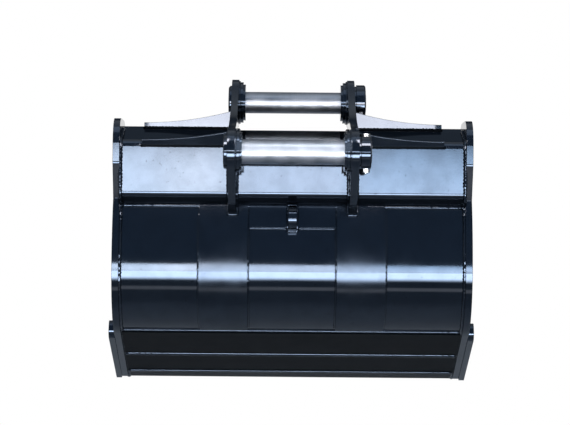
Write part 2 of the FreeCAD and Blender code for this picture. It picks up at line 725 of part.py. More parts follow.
def add_discs(node, layers, sign=1):
    """Make a body of round layers along X.

    Each layer is its start, its length, its outside and its bore, or None.
    """
    body = add_body(node)
    for number, (start, length, outside, bore, centre) in enumerate(layers):
        sketch = add_sketch(body, "ring%d" % number, "YZ_Plane",
                            "%d * (%s)" % (sign, start))
        draw_circle(sketch, centre, outside)
        if bore is not None:
            draw_circle(sketch, centre, bore)
        backwards = (sign < 0) != length.startswith("-")
        add_pad(body, sketch, length.lstrip("-"), backwards)
    return body


def bevel(body, size, radius, across):
    """Bevel the round edge of a given radius at a given place along X."""
    tip = body.Tip
    names = []
    for number, edge in enumerate(tip.Shape.Edges):
        curve = edge.Curve
        if not isinstance(curve, Part.Circle):
            continue
        if abs(curve.Radius - value(radius) / 2) > 0.01:
            continue
        if abs(curve.Center.x - across) < 0.01:
            names.append("Edge%d" % (number + 1))
    chamfer = body.newObject("PartDesign::Chamfer", body.Name + "_bevel")
    chamfer.Base = (tip, names)
    chamfer.setExpression("Size", in_sheet(size))
    doc.recompute()


# Wrapper, rolled in two radii, and the plates that close its ends
WRAPPER = [("shell_top_out",), ("back_end_out", "back_radius", 1),
           ("heel_start_out", "heel_radius", 1), ("heel_end_out",),
           ("floor_end_out",), ("floor_end_in",),
           ("heel_end_in", "heel_inner", -1),
           ("heel_start_in", "back_inner", -1), ("back_end_in",),
           ("shell_top_in",)]
add_full_width("shell", WRAPPER)

SIDE_PLATE = [("side_lip",), ("crest_round_in", "side_top_radius", 1),
              ("crest_round_out",), ("rear_round_in", "side_rear_radius", 1),
              ("rear_round_out",), ("turn_round_in", "side_turn_radius", 1),
              ("turn_round_out",), ("side_waist", "side_back_radius", 1),
              ("side_heel_start", "side_heel_radius", 1),
              ("side_heel_end",)]
for side, sign in SIDES:
    body = add_extrusion("side_plate_" + side, SIDE_PLATE, "0", "stock_reach",
                         sign)
    cut_wedges(body, slab(sign, "FLANK", "FLANK + side_across"))

# Torsion box: one folded plate over the back, closed at both ends
BOX = [("roof_front_top",), ("roof_bend_out", "box_bend_radius", 1),
       ("panel_top_out",), ("panel_foot_out", "box_bend_radius", 1),
       ("return_start_out",), ("return_end_out",), ("return_end_in",),
       ("return_start_in", "box_bend_inner", -1), ("panel_foot_in",),
       ("panel_top_in", "box_bend_inner", -1), ("roof_bend_in",),
       ("roof_front_low",)]
add_full_width("torsion_box", BOX)

BOX_END = [("shell_top_out",), ("roof_bend_in", "box_bend_inner", 1),
           ("panel_top_in",), ("panel_foot_in", "box_bend_inner", 1),
           ("return_start_in",), ("return_end_in",)]
for side, sign in SIDES:
    body = add_extrusion("box_end_" + side, BOX_END, "0", "stock_reach", sign)
    cut_wedges(body, slab(sign, "FLANK - box_end_across", "FLANK"))

LIP_BAR = [("roof_front_top",), ("lip_bar_heel",), ("lip_bar_low",),
           ("lip_bar_top",)]
for side, sign in SIDES:
    body = add_extrusion("top_lip_" + side, LIP_BAR, "ear_outer",
                         "stock_reach", sign)
    cut_wedges(body, [(sign, "FLANK", "2 * stock_reach")])

# Ears, with a boss round each pin on the inner face
EAR = [("roof_front_top",), ("lobe_low", "dipper_lobe_radius", 1),
       ("lobe_split", "dipper_lobe_radius", 1),
       ("saddle_front", "ear_saddle_radius", -1),
       ("saddle_rear", "link_lobe_radius", 1), ("lobe_rear",), ("toe_tip",),
       ("toe_root",), ("strip_top_out",), ("strip_top",), ("return_end_out",),
       ("return_start_out", "box_bend_radius", -1), ("panel_foot_out",),
       ("panel_top_out", "box_bend_radius", -1), ("roof_bend_out",)]
PINS = ("dipper", "link")
for side, sign in SIDES:
    add_extrusion("ear_" + side, EAR, "ear_inner", "ear_thickness", sign,
                  [(pin, pin + "_bore_dia") for pin in PINS])
    for pin in PINS:
        add_discs("%s_boss_%s" % (pin, side),
                  [("ear_inner", "-boss_thickness", "boss_dia",
                    pin + "_bore_dia", pin),
                   ("boss_face", "-boss_step_thickness", "boss_step_dia",
                    pin + "_bore_dia", pin)], sign)

# Gussets that run out from the ears, each cut to the box under it
ROOF_CUT = [("roof_cut_front",), ("roof_bend_out", "box_bend_radius", 1),
            ("panel_top_out",), ("panel_foot_out",), ("roof_cut_low",)]
BEND_CUT = [("bend_cut_front",), ("bend_cut_roof", "box_bend_radius", 1),
            ("bend_cut_panel",), ("bend_cut_foot",), ("bend_cut_low",)]


def add_gusset(end, side, sign, back, foot_cut):
    """Make a gusset: a plate with a hollow top, its foot cut to the box."""
    node = "%s_gusset_%s" % (end, side)
    body = add_body(node)
    sketch = add_sketch(body, "outline", "XZ_Plane",
                        "-(%s + gusset_thickness)" % back)
    draw_outline(sketch, [(node + "_root",), (node + "_tip",),
                          (node + "_tip_top", end + "_gusset_radius", -sign),
                          (node + "_root_top",)])
    add_pad(body, sketch, "gusset_thickness")
    cut = add_sketch(body, "foot", "YZ_Plane")
    draw_outline(cut, foot_cut)
    add_cut(body, cut)
    return body


for side, sign in SIDES:
    add_gusset("front", side, sign, "gusset_back", ROOF_CUT)
    rear = add_gusset("rear", side, sign, "-rear_gusset_behind", BEND_CUT)
    rear.Placement.Rotation = FreeCAD.Rotation(Vector(1, 0, 0),
                                               value("roof_slope"))
    rear.setExpression("Placement.Rotation.Angle", "Sizes.roof_slope")
    rear.setExpression("Placement.Base.y", "-Sizes.panel_back")
    rear.setExpression("Placement.Base.z", "-Sizes.roof_bend_drop")

# Wear strips, doublers and the lifting eye on the back
STRIP = [("strip_top_out",), ("strip_bend_out", "strip_back_radius", 1),
         ("strip_heel_out", "strip_heel_radius", 1), ("strip_end_out",),
         ("strip_end", "heel_radius", -1),
         ("heel_start_out", "back_radius", -1), ("back_end_out",),
         ("strip_top",)]
DOUBLER = [("pad_top_out",), ("pad_bend_out", "pad_radius", 1),
           ("pad_low_out",), ("pad_low", "back_radius", -1),
           ("back_end_out",), ("pad_top",)]
for side, sign in SIDES:
    add_extrusion("wear_strip_" + side, STRIP, "strip_inner_face",
                  "strip_width", sign)
    add_extrusion("eye_pad_" + side, DOUBLER, "eye_face", "pad_length", sign)
EYE = [("eye_top",), ("eye_crown", "eye_radius", 1), ("eye_chin",),
       ("eye_low", "back_radius", -1), ("back_end_out",)]
add_extrusion("lifting_eye", EYE, "-eye_face", "eye_thickness", 1,
              [("eye_hole", "eye_hole_dia")])

# Lip: wear plate under the floor, then the bevelled cutting edge
add_full_width("lip_wear_plate", [("wear_rear",), ("wear_rear_low",),
                                  ("wear_front_low",), ("wear_front",)])
add_full_width("cutting_edge", [("floor_end_in",), ("edge_rear_low",),
                                ("edge_bevel_low",), ("edge_tip_low",),
                                ("edge_tip_top",)])
CUTTER = [("cutter_heel_round_out",),
          ("cutter_tip_round_in", "cutter_tip_radius", 1),
          ("cutter_tip_round_out",), ("cutter_knee",),
          ("cutter_top_round_in", "cutter_radius", 1),
          ("cutter_top_round_out",),
          ("cutter_rear_round_in", "cutter_radius", 1),
          ("cutter_rear_round_out",),
          ("cutter_inner_round_in", "cutter_inner_radius", -1),
          ("cutter_inner_round_out",),
          ("cutter_tail_round_in", "cutter_radius", 1),
          ("cutter_tail_round_out",),
          ("cutter_heel_round_in", "cutter_radius", 1)]
for side, sign in SIDES:
    body = add_extrusion("side_cutter_" + side, CUTTER, "0", "stock_reach",
                         sign)
    cut_wedges(body, slab(sign, "FLANK + side_across",
                          "FLANK + side_across + cutter_across"))


def cut_bolt_hole(body):
    """Cut the bolt's hole right through a pin or a collar."""
    sketch = add_sketch(body, "bolt_hole", "XY_Plane")
    draw_circle(sketch, "bolt_axis", "bolt_hole_dia")
    add_cut(body, sketch)


def cut_flat(body, name, seat, outwards):
    """Mill a flat across a collar, from a height outwards."""
    sketch = add_sketch(body, name, "XY_Plane", seat)
    draw_outline(sketch, [("flat_near_rear",), ("flat_far_rear",),
                          ("flat_far_front",), ("flat_near_front",)])
    cut = body.newObject("PartDesign::Pocket", sketch.Name + "_cut")
    cut.Profile = sketch
    cut.SideType = "One side"
    cut.Reversed = outwards
    cut.setExpression("Length", "Sizes.dipper_collar_dia")
    sketch.Visibility = False
    doc.recompute()


def add_pin_set(pin):
    """Make a pin, its shim, collar, bolt and nut along the pin's axis."""
    dia = pin + "_pin_dia"
    bore = pin + "_bore_dia"
    collar_dia = pin + "_collar_dia"
    seat = pin + "_seat"
    head_size = pin + "_head"
    head = add_discs(pin + "_pin_head", [
        ("-play_face", "-%s_thickness" % head_size, head_size + "_dia", None,
         "dipper")])
    bevel(head, head_size + "_chamfer", head_size + "_dia",
          -value("play_face") - value(head_size + "_thickness"))
    shaft = add_discs(pin + "_pin", [
        ("-play_face", "play_face + pin_end", dia, None, "dipper")])
    bevel(shaft, "pin_chamfer", dia, value("pin_end"))
    cut_bolt_hole(shaft)
    shim = add_discs(pin + "_shim", [
        ("play_face", "shim_thickness", pin + "_shim_dia", bore,
         "dipper")])
    collar = add_discs(pin + "_collar", [
        ("collar_face", "collar_width", collar_dia, bore, "dipper")])
    bevel(collar, "collar_chamfer", collar_dia, value("collar_end"))
    cut_bolt_hole(collar)
    cut_flat(collar, "head_flat", seat, True)
    cut_flat(collar, "nut_flat", "-" + seat, False)
    bolt = add_body(pin + "_bolt")
    sketch = add_sketch(bolt, "head", "XY_Plane", seat)
    draw_outline(sketch, HEXAGON)
    add_pad(bolt, sketch, "bolt_head_height")
    sketch = add_sketch(bolt, "shank", "XY_Plane", seat)
    draw_circle(sketch, "bolt_axis", "bolt_dia")
    add_pad(bolt, sketch, "2 * %s + nut_height + bolt_end_stand" % seat,
            backwards=True)
    nut = add_body(pin + "_nut")
    sketch = add_sketch(nut, "ring", "XY_Plane", "-" + seat)
    draw_outline(sketch, HEXAGON)
    draw_circle(sketch, "bolt_axis", "bolt_dia")
    add_pad(nut, sketch, "nut_height", backwards=True)
    for body in (head, shaft, shim, collar, bolt, nut):
        body.Placement.Rotation = FreeCAD.Rotation(Vector(1, 0, 0), -1)
        body.setExpression("Placement.Rotation.Angle",
                           "-Sizes.%s_bolt_angle" % pin)
        body.setExpression("Placement.Base.y", "Sizes.%s_across" % pin)
        body.setExpression("Placement.Base.z", "Sizes.%s_up" % pin)


# Pins with their collars and through bolts
for pin in PINS:
    add_pin_set(pin)

doc.recompute()


def check_document():
    """Stop if any object failed or any piece has a bad shape."""
    for item in doc.Objects:
        if "Invalid" in item.State or "Error" in item.State:
            raise ValueError("%s did not build" % item.Name)
    for body in doc.findObjects("PartDesign::Body"):
        if body.Shape.isNull() or not body.Shape.isValid():
            raise ValueError("%s has a bad shape" % body.Label)
        if len(body.Shape.Solids) != 1:
            raise ValueError("%s is not one solid" % body.Label)


def export_parts():
    """Write one STEP file for each piece."""
    os.makedirs(OUT_DIR, exist_ok=True)
    for body in doc.findObjects("PartDesign::Body"):
        body.Shape.exportStep(os.path.join(OUT_DIR, body.Label + ".step"))


check_document()
export_parts()
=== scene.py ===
"""Look, light and camera of a gloss black excavator rock bucket with bright pins.

Every length is in metres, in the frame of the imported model: X to the right, Y away
from the viewer behind the bucket, Z up, from the middle of the upper pin.
"""
import logging
import math
import random
from dataclasses import dataclass
from enum import Enum
from typing import Dict, Iterable, List, Optional, Sequence, Tuple

import bpy
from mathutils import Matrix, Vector


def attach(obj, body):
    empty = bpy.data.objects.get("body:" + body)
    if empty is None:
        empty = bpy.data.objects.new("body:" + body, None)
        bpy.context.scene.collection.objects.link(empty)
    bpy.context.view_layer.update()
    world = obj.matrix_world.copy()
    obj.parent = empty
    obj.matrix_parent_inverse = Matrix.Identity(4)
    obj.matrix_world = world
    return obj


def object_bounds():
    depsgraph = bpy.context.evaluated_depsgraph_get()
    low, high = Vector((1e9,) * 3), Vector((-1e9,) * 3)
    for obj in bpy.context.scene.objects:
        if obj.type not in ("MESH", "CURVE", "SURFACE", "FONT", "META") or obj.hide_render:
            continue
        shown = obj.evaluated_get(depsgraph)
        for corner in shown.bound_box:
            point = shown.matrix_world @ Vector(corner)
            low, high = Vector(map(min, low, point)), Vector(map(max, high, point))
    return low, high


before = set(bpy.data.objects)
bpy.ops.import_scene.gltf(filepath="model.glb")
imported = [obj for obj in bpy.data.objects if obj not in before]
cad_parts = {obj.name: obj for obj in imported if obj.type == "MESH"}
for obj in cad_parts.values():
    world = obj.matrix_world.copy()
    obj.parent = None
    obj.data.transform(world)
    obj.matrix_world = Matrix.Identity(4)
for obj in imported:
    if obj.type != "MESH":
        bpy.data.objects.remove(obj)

CAD_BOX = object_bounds()
LOG = logging.getLogger("rock_bucket")
Point = Tuple[float, float, float]
Flat = Tuple[float, float]
BUCKET = "bucket"
SUNK = 0.3  # how far a bead's middle stands off its plates, in radii
MM_PER_M = 1000.0


class Side(Enum):
    """Which side of the bucket a piece is on, as its sign along X."""

    LEFT = -1
    RIGHT = 1


class Pin(Enum):
    """The two hanger pins, by the start of their pieces' names."""

    DIPPER = "dipper"
    LINK = "link"


class Coat(Enum):
    """The finishes; the first three are the record's material slots."""

    PAINT = "gloss_paint"
    PIN = "pin_steel"
    PLATED = "plated_bolt"
    # Painted shade: a darkened copy of the enamel that mirrors almost nothing.
    UNDERSIDE = "underside"
    STRIP = "wear_strip"


Coats = Dict[Coat, bpy.types.Material]


def linear(code: str) -> Tuple[float, float, float, float]:
    """Turn an sRGB hex colour into the linear one that nodes take.

    Args:
        code: The colour, such as "#0a1018".

    Returns:
        Linear red, green and blue, and an alpha of one.
    """
    parts = [int(code[i:i + 2], 16) / 255 for i in (1, 3, 5)]
    lit = [p / 12.92 if p <= 0.04045 else ((p + 0.055) / 1.055) ** 2.4
           for p in parts]
    return lit[0], lit[1], lit[2], 1.0


def add_node(tree: bpy.types.NodeTree, kind: str,
             settings: Optional[dict] = None, inputs: Optional[dict] = None,
             links: Optional[dict] = None) -> bpy.types.Node:
    """Add one node with its settings, its input values and its links.

    Args:
        tree: The node tree.
        kind: The node's type name.
        settings: Attributes of the node.
        inputs: Values of its input sockets.
        links: Output sockets to join to its inputs.

    Returns:
        The new node.
    """
    node = tree.nodes.new(kind)
    for name, setting in (settings or {}).items():
        setattr(node, name, setting)
    for name, number in (inputs or {}).items():
        node.inputs[name].default_value = number
    for name, socket in (links or {}).items():
        tree.links.new(socket, node.inputs[name])
    return node


def new_material(name: str) -> Tuple[bpy.types.Material, bpy.types.NodeTree]:
    """Make an empty node material.

    Args:
        name: The material's name.

    Returns:
        The material and its node tree.
    """
    material = bpy.data.materials.new(name)
    material.use_nodes = True
    material.node_tree.nodes.clear()
    return material, material.node_tree


def finish_material(tree: bpy.types.NodeTree, shader: bpy.types.Node) -> None:
    """Join a surface shader to a new material output.

    Args:
        tree: The material's node tree.
        shader: The node that makes the surface.
    """
    add_node(tree, "ShaderNodeOutputMaterial",
             links={"Surface": shader.outputs[0]})


@dataclass(frozen=True)
class GlossPaint:
    """Two-pack gloss enamel sprayed on blasted steel plate.

    It is almost black with a blue cast, mirror-like on flat plate, and has the
    faint orange peel and dust of a sprayed coat. What it mirrors is tinted blue, a
    painted reflection colour: the blue of the light it mirrors, put into the enamel.
    The rolled plate under it has shallow waves, and its peel is drawn coarser than a
    real one, so that it shows.
    """

    name: str = "gloss_black_enamel_sprayed"
    dark: str = "#020305"
    light: str = "#040609"
    # Painted reflection colour: the blue of the mirrored light, put into the enamel's
    # specular tint.
    painted_reflection_tint: str = "#c3dcff"
    level: float = 0.55
    ior: float = 1.5
    roughness: Tuple[float, float] = (0.05, 0.10)
    cloud_mm: float = 111.11
    peel_mm: float = 5.0
    peel_height_mm: float = 0.012
    speck_mm: float = 9.0
    speck_dull: float = 0.6
    mottle_mm: float = 42.0
    mottle_dull: float = 0.9
    wave_mm: float = 160.0
    wave_height_mm: float = 0.2
    edge_round_mm: float = 1.6

    def make(self) -> bpy.types.Material:
        """Build the enamel's node material.

        Returns:
            The material.
        """
        material, tree = new_material(self.name)
        place = add_node(tree, "ShaderNodeTexCoord")
        where = place.outputs["Object"]
        cloud = add_node(tree, "ShaderNodeTexNoise",
                         inputs={"Scale": MM_PER_M / self.cloud_mm,
                                 "Detail": 4.0},
                         links={"Vector": where})
        colour = add_node(tree, "ShaderNodeMix", {"data_type": "RGBA"},
                          {6: linear(self.dark), 7: linear(self.light)},
                          {0: cloud.outputs["Fac"]})
        rough = add_node(tree, "ShaderNodeMapRange",
                         inputs={"From Min": 0.3, "From Max": 0.7,
                                 "To Min": self.roughness[0],
                                 "To Max": self.roughness[1]},
                         links={"Value": cloud.outputs["Fac"]})
        mottle = add_node(tree, "ShaderNodeTexNoise",
                          inputs={"Scale": MM_PER_M / self.mottle_mm,
                                  "Detail": 5.0},
                          links={"Vector": where})
        even = add_node(tree, "ShaderNodeMapRange",
                        inputs={"From Min": 0.62, "From Max": 0.42,
                                "To Min": self.level * self.mottle_dull,
                                "To Max": self.level},
                        links={"Value": mottle.outputs["Fac"]})
        speck = add_node(tree, "ShaderNodeTexNoise",
                         inputs={"Scale": MM_PER_M / self.speck_mm,
                                 "Detail": 1.0},
                         links={"Vector": where})
        dust = add_node(tree, "ShaderNodeMapRange",
                        inputs={"From Min": 0.72, "From Max": 0.78,
                                "To Min": 1.0, "To Max": self.speck_dull},
                        links={"Value": speck.outputs["Fac"]})
        gloss = add_node(tree, "ShaderNodeMath", {"operation": "MULTIPLY"},
                         links={0: even.outputs["Result"],
                                1: dust.outputs["Result"]})
        peel = add_node(tree, "ShaderNodeTexNoise",
                        inputs={"Scale": MM_PER_M / self.peel_mm,
                                "Detail": 2.0},
                        links={"Vector": where})
        wave = add_node(tree, "ShaderNodeTexNoise",
                        inputs={"Scale": MM_PER_M / self.wave_mm,
                                "Detail": 1.0},
                        links={"Vector": where})
        edge = add_node(tree, "ShaderNodeBevel", {"samples": 6},
                        {"Radius": self.edge_round_mm / MM_PER_M})
        swell = add_node(tree, "ShaderNodeBump",
                         inputs={"Strength": 1.0,
                                 "Distance": self.wave_height_mm / MM_PER_M},
                         links={"Height": wave.outputs["Fac"],
                                "Normal": edge.outputs["Normal"]})
        bump = add_node(tree, "ShaderNodeBump",
                        inputs={"Strength": 1.0,
                                "Distance": self.peel_height_mm / MM_PER_M},
                        links={"Height": peel.outputs["Fac"],
                               "Normal": swell.outputs["Normal"]})
        # The level's own socket is set too, for an export that drops its link.
        shader = add_node(tree, "ShaderNodeBsdfPrincipled",
                          inputs={"Specular Tint": linear(self.painted_reflection_tint),
                                  "Specular IOR Level": self.level,
                                  "IOR": self.ior},
                          links={"Base Color": colour.outputs[2],
                                 "Specular IOR Level": gloss.outputs[0],
                                 "Roughness": rough.outputs["Result"],
                                 "Normal": bump.outputs["Normal"]})
        finish_material(tree, shader)
        return material


@dataclass(frozen=True)
class PinSteel:
    """Induction hardened round bar, ground bright and rubbed by its bushes.

    The grinding leaves fine rings round the bar, drawn coarser than real ones so
    that they show, and the bushes rub it unevenly, in darker and duller clouds.
    """

    name: str = "ground_pin_steel"
    bright: str = "#979ca5"
    dull: str = "#5f656e"
    roughness: Tuple[float, float] = (0.31, 0.56)
    ring_mm: float = 2.6
    ring_height_mm: float = 0.003
    ring_reach_mm: float = 166.67
    wear_mm: float = 45.45

    def make(self) -> bpy.types.Material:
        """Build the pin steel's node material.

        Returns:
            The material.
        """
        material, tree = new_material(self.name)
        place = add_node(tree, "ShaderNodeTexCoord")
        reach = MM_PER_M / self.ring_reach_mm
        squeeze = add_node(tree, "ShaderNodeMapping",
                           inputs={"Scale": (MM_PER_M / self.ring_mm,
                                             reach, reach)},
                           links={"Vector": place.outputs["Object"]})
        rings = add_node(tree, "ShaderNodeTexNoise",
                         inputs={"Scale": 1.0, "Detail": 3.0},
                         links={"Vector": squeeze.outputs["Vector"]})
        wear = add_node(tree, "ShaderNodeTexNoise",
                        inputs={"Scale": MM_PER_M / self.wear_mm,
                                "Detail": 5.0},
                        links={"Vector": place.outputs["Object"]})
        colour = add_node(tree, "ShaderNodeMix", {"data_type": "RGBA"},
                          {6: linear(self.dull), 7: linear(self.bright)},
                          {0: wear.outputs["Fac"]})
        mixed = add_node(tree, "ShaderNodeMath", {"operation": "MULTIPLY"},
                         links={0: rings.outputs["Fac"],
                                1: wear.outputs["Fac"]})
        rough = add_node(tree, "ShaderNodeMapRange",
                         inputs={"From Min": 0.12, "From Max": 0.42,
                                 "To Min": self.roughness[0],
                                 "To Max": self.roughness[1]},
                         links={"Value": mixed.outputs[0]})
        bump = add_node(tree, "ShaderNodeBump",
                        inputs={"Strength": 1.0,
                                "Distance": self.ring_height_mm / MM_PER_M},
                        links={"Height": rings.outputs["Fac"]})
        shader = add_node(tree, "ShaderNodeBsdfPrincipled",
                          inputs={"Metallic": 1.0},
                          links={"Base Color": colour.outputs[2],
                                 "Roughness": rough.outputs["Result"],
                                 "Normal": bump.outputs["Normal"]})
        finish_material(tree, shader)
        return material


@dataclass(frozen=True)
class ZincPlate:
    """Zinc plated and clear passivated steel of bolts and nuts.

    It is pale and softly shiny, with a faint cloudy bloom.
    """

    name: str = "zinc_plated_steel"
    bright: str = "#c6c9cc"
    dull: str = "#94989c"
    roughness: float = 0.32
    bloom_mm: float = 6.25

    def make(self) -> bpy.types.Material:
        """Build the zinc plate's node material.

        Returns:
            The material.
        """
        material, tree = new_material(self.name)
        place = add_node(tree, "ShaderNodeTexCoord")
        bloom = add_node(tree, "ShaderNodeTexNoise",
                         inputs={"Scale": MM_PER_M / self.bloom_mm,
                                 "Detail": 4.0},
                         links={"Vector": place.outputs["Object"]})
        colour = add_node(tree, "ShaderNodeMix", {"data_type": "RGBA"},
                          {6: linear(self.dull), 7: linear(self.bright)},
                          {0: bloom.outputs["Fac"]})
        shader = add_node(tree, "ShaderNodeBsdfPrincipled",
                          inputs={"Metallic": 1.0,
                                  "Roughness": self.roughness},
                          links={"Base Color": colour.outputs[2]})
        finish_material(tree, shader)
        return material


@dataclass(frozen=True)
class StudioPaper:
    """Matt paper of the studio's floor."""

    name: str = "studio_floor_paper"
    colour: str = "#c4c7cb"

    def make(self) -> bpy.types.Material:
        """Build the paper's node material.

        Returns:
            The material.
        """
        material, tree = new_material(self.name)
        shader = add_node(tree, "ShaderNodeBsdfDiffuse",
                          inputs={"Color": linear(self.colour)})
        finish_material(tree, shader)
        return material


@dataclass(frozen=True)
class LitBackdrop:
    """White paper backdrop, lit evenly from behind to paper white."""

    name: str = "studio_backdrop_paper"
    colour: str = "#f4f5f6"

    def make(self) -> bpy.types.Material:
        """Build the backdrop's node material.

        What the camera, glossy metal and glass see of it is plain white. For
        any other light it is ordinary paper.

        Returns:
            The material.
        """
        material, tree = new_material(self.name)
        path = add_node(tree, "ShaderNodeLightPath")
        first = add_node(tree, "ShaderNodeMath", {"operation": "MAXIMUM"},
                         links={0: path.outputs["Is Camera Ray"],
                                1: path.outputs["Is Glossy Ray"]})
        seen = add_node(tree, "ShaderNodeMath", {"operation": "MAXIMUM"},
                        links={0: first.outputs[0],
                               1: path.outputs["Is Transmission Ray"]})
        paper = add_node(tree, "ShaderNodeBsdfDiffuse",
                         inputs={"Color": linear(self.colour)})
        white = add_node(tree, "ShaderNodeEmission",
                         inputs={"Color": (1, 1, 1, 1), "Strength": 1.0})
        mix = add_node(tree, "ShaderNodeMixShader",
                       links={0: seen.outputs[0], 1: paper.outputs[0],
                              2: white.outputs[0]})
        finish_material(tree, mix)
        return material


@dataclass(frozen=True)
class Section:
    """Side profile of the bucket in the YZ plane, and its flare in plan."""

    back_centre: Flat = (0.215, -0.468)
    back_radius: float = 0.430
    back_top: float = math.radians(20)
    heel_radius: float = 0.180
    heel_end: float = math.radians(65)
    panel_y: float = -0.205
    bend_z: float = -0.1204
    foot_z: float = -0.264
    roof_slope: float = math.radians(18)
    roof_length: float = 0.1195
    return_turn: float = math.radians(45)
    bend_radius: float = 0.020
    gauge_half: float = 0.462
    gauge_y: float = -0.230
    taper: float = math.radians(2.7)
    arc_step: float = math.radians(2)
    bend_steps: int = 6
    return_steps: int = 4

    def half(self, y: float) -> float:
        """Give the inner face of a side plate at one place along Y."""
        return self.gauge_half + (y - self.gauge_y) * math.tan(self.taper)

    def on_arc(self, centre: Flat, radius: float, angle: float) -> Flat:
        """Give a point of a rear arc, its angle up from straight back."""
        return (centre[0] - radius * math.cos(angle),
                centre[1] + radius * math.sin(angle))

    def heel_centre(self) -> Flat:
        """Give the centre of the heel's arc."""
        return (self.back_centre[0] - self.back_radius + self.heel_radius,
                self.back_centre[1])

    def back(self, angle: float, out: float = 0.0) -> Flat:
        """Give a point of the back's arc, moved out of the plate."""
        return self.on_arc(self.back_centre, self.back_radius + out, angle)

    def heel(self, angle: float, out: float = 0.0) -> Flat:
        """Give a point of the heel's arc, its angle down, moved out."""
        return self.on_arc(self.heel_centre(), self.heel_radius + out, -angle)

    def neck(self, along: float, out: float = 0.0) -> Flat:
        """Give a point of the straight above the back's arc.

        Args:
            along: Place up the straight, from the arc's end.
            out: How far out of the plate the point lies.

        Returns:
            The point.
        """
        y, z = self.back(self.back_top)
        s, c = math.sin(self.back_top), math.cos(self.back_top)
        return y + along * s - out * c, z + along * c + out * s

    def floor(self, along: float, out: float = 0.0) -> Flat:
        """Give a point of the floor, along it from the heel's end.

        Args:
            along: Place along the floor.
            out: How far out of the plate the point lies.

        Returns:
            The point.
        """
        y, z = self.heel(self.heel_end)
        slope = math.pi / 2 - self.heel_end
        s, c = math.sin(slope), math.cos(slope)
        return y + along * c - out * s, z - along * s - out * c

    def roof(self, along: float, out: float = 0.0) -> Flat:
        """Give a point of the roof, along it from the upper bend.

        Args:
            along: Place along the roof.
            out: How far out of the plate the point lies.

        Returns:
            The point.
        """
        s, c = math.sin(self.roof_slope), math.cos(self.roof_slope)
        return (self.panel_y + along * c - out * s,
                self.bend_z + along * s + out * c)

    def box_path(self, out: float = 0.0) -> List[Flat]:
        """Follow the torsion box from its roof's front edge to the neck.

        Args:
            out: How far out of the plate the path lies.

        Returns:
            Points down the roof, the panel and the return.
        """
        r = self.bend_radius
        upper = r * math.tan((math.pi / 2 - self.roof_slope) / 2)
        lower = r * math.tan(self.return_turn / 2)
        path = [self.roof(self.roof_length, out)]
        centre = self.roof(upper, -r)
        turn = math.pi / 2 - self.roof_slope
        for i in range(self.bend_steps + 1):
            angle = turn * (1 - i / self.bend_steps)
            path.append(self.on_arc(centre, r + out, angle))
        centre = (self.panel_y + r, self.foot_z + lower)
        for i in range(self.return_steps + 1):
            angle = -self.return_turn * i / self.return_steps
            path.append(self.on_arc(centre, r + out, angle))
        y, z = path[-1]
        s, c = math.sin(self.return_turn), math.cos(self.return_turn)
        end_y, end_z = self.neck(0.0, out)
        top_s, top_c = math.sin(self.back_top), math.cos(self.back_top)
        length = (((y - end_y) * top_c - (z - end_z) * top_s)
                  / -math.sin(self.return_turn + self.back_top))
        path.append((y + length * s, z - length * c))
        return path

    def return_along(self) -> float:
        """Give where the return meets the neck.

        Returns:
            How far above the back's arc it is, along the neck.
        """
        y, z = self.box_path()[-1]
        end_y, end_z = self.neck(0.0)
        return ((y - end_y) * math.sin(self.back_top)
                + (z - end_z) * math.cos(self.back_top))

    def back_path(self, top: float, out: float = 0.0) -> List[Flat]:
        """Follow the wrapper from a height on its neck to the floor.

        Args:
            top: Start above the back's arc.
            out: How far out of the plate the path lies.

        Returns:
            Points down the neck, the back and the heel.
        """
        path = [self.neck(top, out)]
        steps = int(self.back_top / self.arc_step)
        for i in range(steps + 1):
            path.append(self.back(self.back_top * (1 - i / steps), out))
        steps = int(self.heel_end / self.arc_step / 2)
        for i in range(1, steps + 1):
            path.append(self.heel(self.heel_end * i / steps, out))
        return path


def at_x(x: float, path: Iterable[Flat]) -> List[Point]:
    """Stand a flat path up at one place along X."""
    return [(x, y, z) for y, z in path]


def evenly(points: Sequence[Point], step: float,
           closed: bool = False) -> List[Vector]:
    """Space points evenly along a path.

    Args:
        points: The path's corners.
        step: Distance between the new points.
        closed: Whether the path returns to its start.

    Returns:
        The spaced points.
    """
    corners = [Vector(p) for p in points]
    if closed:
        corners.append(corners[0])
    spaced: List[Vector] = [corners[0]]
    carried = 0.0
    for start, end in zip(corners, corners[1:]):
        length = (end - start).length
        if length < 1e-7:
            continue
        reach = step - carried
        while reach <= length:
            spaced.append(start.lerp(end, reach / length))
            reach += step
        carried = length - (reach - step)
    if not closed and (spaced[-1] - corners[-1]).length > step * 0.3:
        spaced.append(corners[-1])
    return spaced


def pairs(*names: str) -> Tuple[str, ...]:
    """Name the left and the right one of each kind of piece."""
    return tuple("%s_%s" % (name, side.name.lower())
                 for name in names for side in Side)


